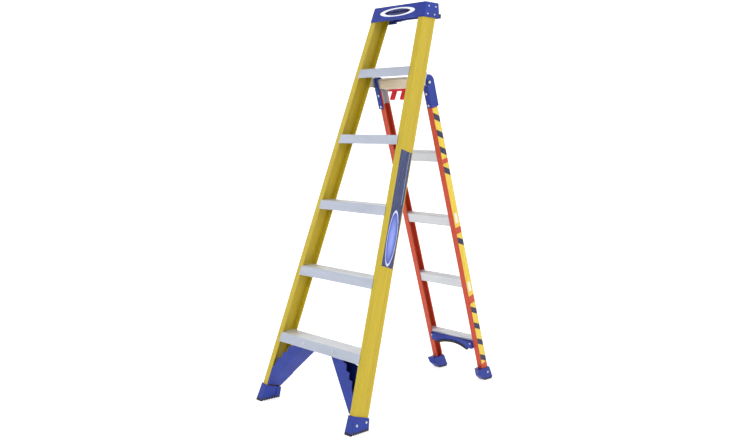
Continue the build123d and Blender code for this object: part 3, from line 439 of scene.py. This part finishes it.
def make_strip(side, turn):
    """A film label laid over the web and down into its groove."""
    low = STRIP_LIFT - GROOVE_DEPTH
    front, back = GROOVE
    path = [(STRIP_LIFT, STRIP_FRONT), (STRIP_LIFT, front - STEP_WIDTH), (low, front + STEP_WIDTH),
            (low, back - STEP_WIDTH), (STRIP_LIFT, back + STEP_WIDTH), (STRIP_LIFT, STRIP_BACK)]
    mesh = bmesh.new()
    line = [mesh.verts.new((x, y, STRIP_START)) for x, y in path]
    edges = [mesh.edges.new(pair) for pair in zip(line, line[1:])]
    made = bmesh.ops.extrude_edge_only(mesh, edges=edges)["geom"]
    raised = [v for v in made if isinstance(v, bmesh.types.BMVert)]
    bmesh.ops.translate(mesh, verts=raised, vec=(0, 0, STRIP_END - STRIP_START))
    bmesh.ops.recalc_face_normals(mesh, faces=mesh.faces)
    made = bmesh.ops.extrude_face_region(mesh, geom=mesh.faces[:])["geom"]
    raised = [v for v in made if isinstance(v, bmesh.types.BMVert)]
    bmesh.ops.translate(mesh, verts=raised, vec=(FILM, 0, 0))
    bmesh.ops.transform(mesh, matrix=turn @ rail_frame("right"), verts=mesh.verts)
    return finished_piece(f"front_rail_label_{side}", mesh, "front_section",
                          [strip_film(f"label_film_{side}", rail_frame(side))])


# ---- Oval badge ----
BADGE_HALF = (0.107, 0.020)
BADGE_RIM = 0.0045
BADGE_FIELD_HALF = 0.081
BADGE_RISE = 0.0012
BADGE_FIELD_DROP = 0.0005
BADGE_EDGE = 0.0003
BADGE_BELOW_TOP = 0.033
BADGE_OFF_RAIL = 0.0042


def make_badge():
    """A blank oval plate with a raised white rim round a dark field."""
    along = (CAP_TOP - BADGE_BELOW_TOP) / math.cos(math.radians(FRONT_TILT))
    mesh = bmesh.new()
    bmesh.ops.create_circle(mesh, cap_ends=True, segments=96, radius=1.0)
    bmesh.ops.scale(mesh, verts=mesh.verts, vec=(BADGE_HALF[0], BADGE_HALF[1], 1))
    base = mesh.faces[:]
    made = bmesh.ops.extrude_face_region(mesh, geom=base)["geom"]
    top = [f for f in made if isinstance(f, bmesh.types.BMFace)]
    bmesh.ops.translate(mesh, verts=list({v for f in top for v in f.verts}), vec=(0, 0, BADGE_RISE))
    bmesh.ops.inset_region(mesh, faces=top, thickness=BADGE_RIM, use_even_offset=True)
    narrower = BADGE_FIELD_HALF / (BADGE_HALF[0] - BADGE_RIM)
    bmesh.ops.scale(mesh, verts=list({v for f in top for v in f.verts}), vec=(narrower, 1, 1))
    bmesh.ops.inset_region(mesh, faces=top, thickness=2 * BADGE_EDGE, depth=-BADGE_FIELD_DROP,
                           use_even_offset=True)
    for face in top:
        face.material_index = 1
    rims = [e for e in mesh.edges if len(e.link_faces) == 2 and e.calc_face_angle(0) > 1.2]
    bmesh.ops.bevel(mesh, geom=rims, offset=BADGE_EDGE, segments=2, profile=0.5, affect="EDGES", material=-1)
    seat = Matrix.Translation((0, -BADGE_OFF_RAIL, along)) @ Matrix.Rotation(math.pi / 2, 4, "X")
    bmesh.ops.transform(mesh, matrix=front_frame @ seat, verts=mesh.verts)
    piece = finished_piece("cap_badge_plate", mesh, "front_section", [badge_white, badge_navy])
    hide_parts("cap_badge")
    return piece


# ---- Stage and light ----
FLOOR_GLOW = 0.50
FLOOR_RADIUS = 7.0
FLOOR_CURVE = 3.0
WALL_TOP = 8.0
SKY_STRENGTH = 0.30
LIGHT_AIM = (0, 0, 0.9)
# each lamp's place, width and power
LIGHTS = {
    "key": ((1.2, -4.6, 3.6), 2.6, 62),
    "side": ((4.6, 0.6, 2.8), 2.4, 46),
    "back": ((-2.6, 4.2, 3.2), 2.6, 30),
    "left": ((-4.4, -1.6, 2.6), 2.4, 14),
}


def make_stage():
    """A round floor that curves up into a wall."""
    material, _, shader = new_finish("studio_floor")
    shader.inputs["Base Color"].default_value = (0.86, 0.86, 0.86, 1)
    shader.inputs["Roughness"].default_value = 0.9
    shader.inputs["Emission Color"].default_value = (1, 1, 1, 1)
    shader.inputs["Emission Strength"].default_value = FLOOR_GLOW
    mesh = bmesh.new()
    profile = [(0.0, 0.0), (FLOOR_RADIUS, 0.0)]
    for step in range(1, 13):
        angle = math.radians(step * 90 / 12)
        rise = FLOOR_CURVE * (1 - math.cos(angle))
        profile.append((FLOOR_RADIUS + FLOOR_CURVE * math.sin(angle), rise))
    profile.append((FLOOR_RADIUS + FLOOR_CURVE, WALL_TOP))
    line = [mesh.verts.new((r, 0, z)) for r, z in profile]
    edges = [mesh.edges.new(pair) for pair in zip(line, line[1:])]
    bmesh.ops.spin(mesh, geom=line + edges, cent=(0, 0, 0), axis=(0, 0, 1), angle=2 * math.pi, steps=96,
                   use_merge=True)
    bmesh.ops.remove_doubles(mesh, verts=mesh.verts, dist=0.0001)
    bmesh.ops.recalc_face_normals(mesh, faces=mesh.faces)
    bmesh.ops.reverse_faces(mesh, faces=mesh.faces)
    for face in mesh.faces:
        face.smooth = True
    data = bpy.data.meshes.new("studio_floor")
    mesh.to_mesh(data)
    mesh.free()
    data.materials.append(material)
    floor = bpy.data.objects.new("studio_floor", data)
    bpy.context.scene.collection.objects.link(floor)


def make_light(name, place, size, power):
    """A soft square lamp aimed at the ladder's middle."""
    data = bpy.data.lights.new(name, "AREA")
    data.shape = "SQUARE"
    data.size = size
    data.energy = power
    light = bpy.data.objects.new(name, data)
    bpy.context.scene.collection.objects.link(light)
    light.location = place
    aim = Vector(LIGHT_AIM) - Vector(place)
    light.rotation_mode = "QUATERNION"
    light.rotation_quaternion = aim.to_track_quat("-Z", "Y")


def make_world():
    world = bpy.data.worlds.new("studio")
    bpy.context.scene.world = world
    world.use_nodes = True
    background = world.node_tree.nodes["Background"]
    background.inputs["Color"].default_value = (1.0, 1.0, 1.0, 1.0)
    background.inputs["Strength"].default_value = SKY_STRENGTH
    bpy.context.scene.view_settings.view_transform = "Standard"


make_camera()
make_stage()
make_world()
for name, (place, size, power) in LIGHTS.items():
    make_light(name, place, size, power)

warning_yellow = printed_film("warning_yellow", rgb(212, 184, 44), rgb(222, 200, 90))
warning_navy = printed_film("warning_navy", rgb(10, 22, 56), rgb(28, 44, 84))
pale_panel = printed_film("pale_panel", rgb(214, 214, 196), rgb(232, 232, 222))
badge_white = printed_film("badge_white", rgb(232, 235, 244), rgb(214, 218, 230))
badge_navy = printed_film("badge_navy", rgb(24, 34, 100), rgb(52, 62, 130))

# each aluminium's second colour is painted shade for its upright faces
tread_metal = drawn_aluminium("tread_aluminium", rgb(236, 238, 242), rgb(176, 182, 196))
rung_metal = drawn_aluminium("rung_aluminium", rgb(236, 236, 238), rgb(206, 208, 212))
bar_metal = drawn_aluminium("cross_bar_aluminium", rgb(238, 230, 214), rgb(232, 218, 196))
rivet_metal = plated_metal("rivet_aluminium", rgb(196, 198, 204), 0.30, 0.48)
zinc = plated_metal("zinc_plated_steel", rgb(196, 196, 192), 0.30, 0.50)
blue = moulded_plastic("blue_moulding", rgb(26, 50, 144), rgb(20, 40, 124), rgb(62, 82, 172))
washer_black = moulded_plastic("washer_black", rgb(22, 24, 40), rgb(16, 18, 32), rgb(60, 62, 80))
red = moulded_plastic("red_moulding", rgb(224, 38, 52), rgb(196, 26, 40), rgb(240, 120, 120))
rubber = moulded_rubber("black_rubber", rgb(24, 24, 26), rgb(62, 60, 58), rgb(84, 82, 80))
sole_rubber = moulded_rubber("navy_rubber", rgb(22, 24, 48), rgb(48, 50, 76), rgb(70, 72, 100))
rear_skin = fibreglass("orange_fibreglass", rear_frame, rgb(196, 66, 30), rgb(166, 46, 20))


def yellow_skin(side):
    # the third colour is painted shade along the groove edges
    return fibreglass(f"yellow_fibreglass_{side}", rail_frame(side), rgb(190, 168, 26), rgb(174, 150, 16),
                      rgb(196, 138, 40))


# the longest beginning that fits a piece's name gives its look
looks = {
    "front_rail_right": yellow_skin("right"), "front_rail_left": yellow_skin("left"), "rear_rail": rear_skin,
    "tread_": tread_metal, "rung_": rung_metal, "top_cross_bar": bar_metal, "rail_liner": rung_metal,
    "hinge_ear_": zinc, "swing_pin": rivet_metal, "swing_washers": washer_black, "latch_lug": zinc,
    "latch_pin": zinc, "latch_springs": zinc, "top_cap": blue, "knee_brace_": blue, "front_foot_": blue,
    "rear_foot_": blue, "hinge_bracket_": blue, "wall_rest": blue, "latch": red, "cap_badge": badge_white,
    "cap_wall_pad": rubber, "wall_rest_grip": rubber, "front_foot_pad": sole_rubber, "rear_foot_pad": rubber,
}
for name, node in nodes.items():
    start = max((start for start in looks if name.startswith(start)), key=len, default="rivets")
    look = rivet_metal if name.endswith(("rivets", "screws")) else looks[start]
    node.data.materials.clear()
    node.data.materials.append(look)

for side, turn in (("right", Matrix.Identity(4)), ("left", mirror_x)):
    make_rear_labels(side, turn)
    make_strip(side, turn)
make_badge()
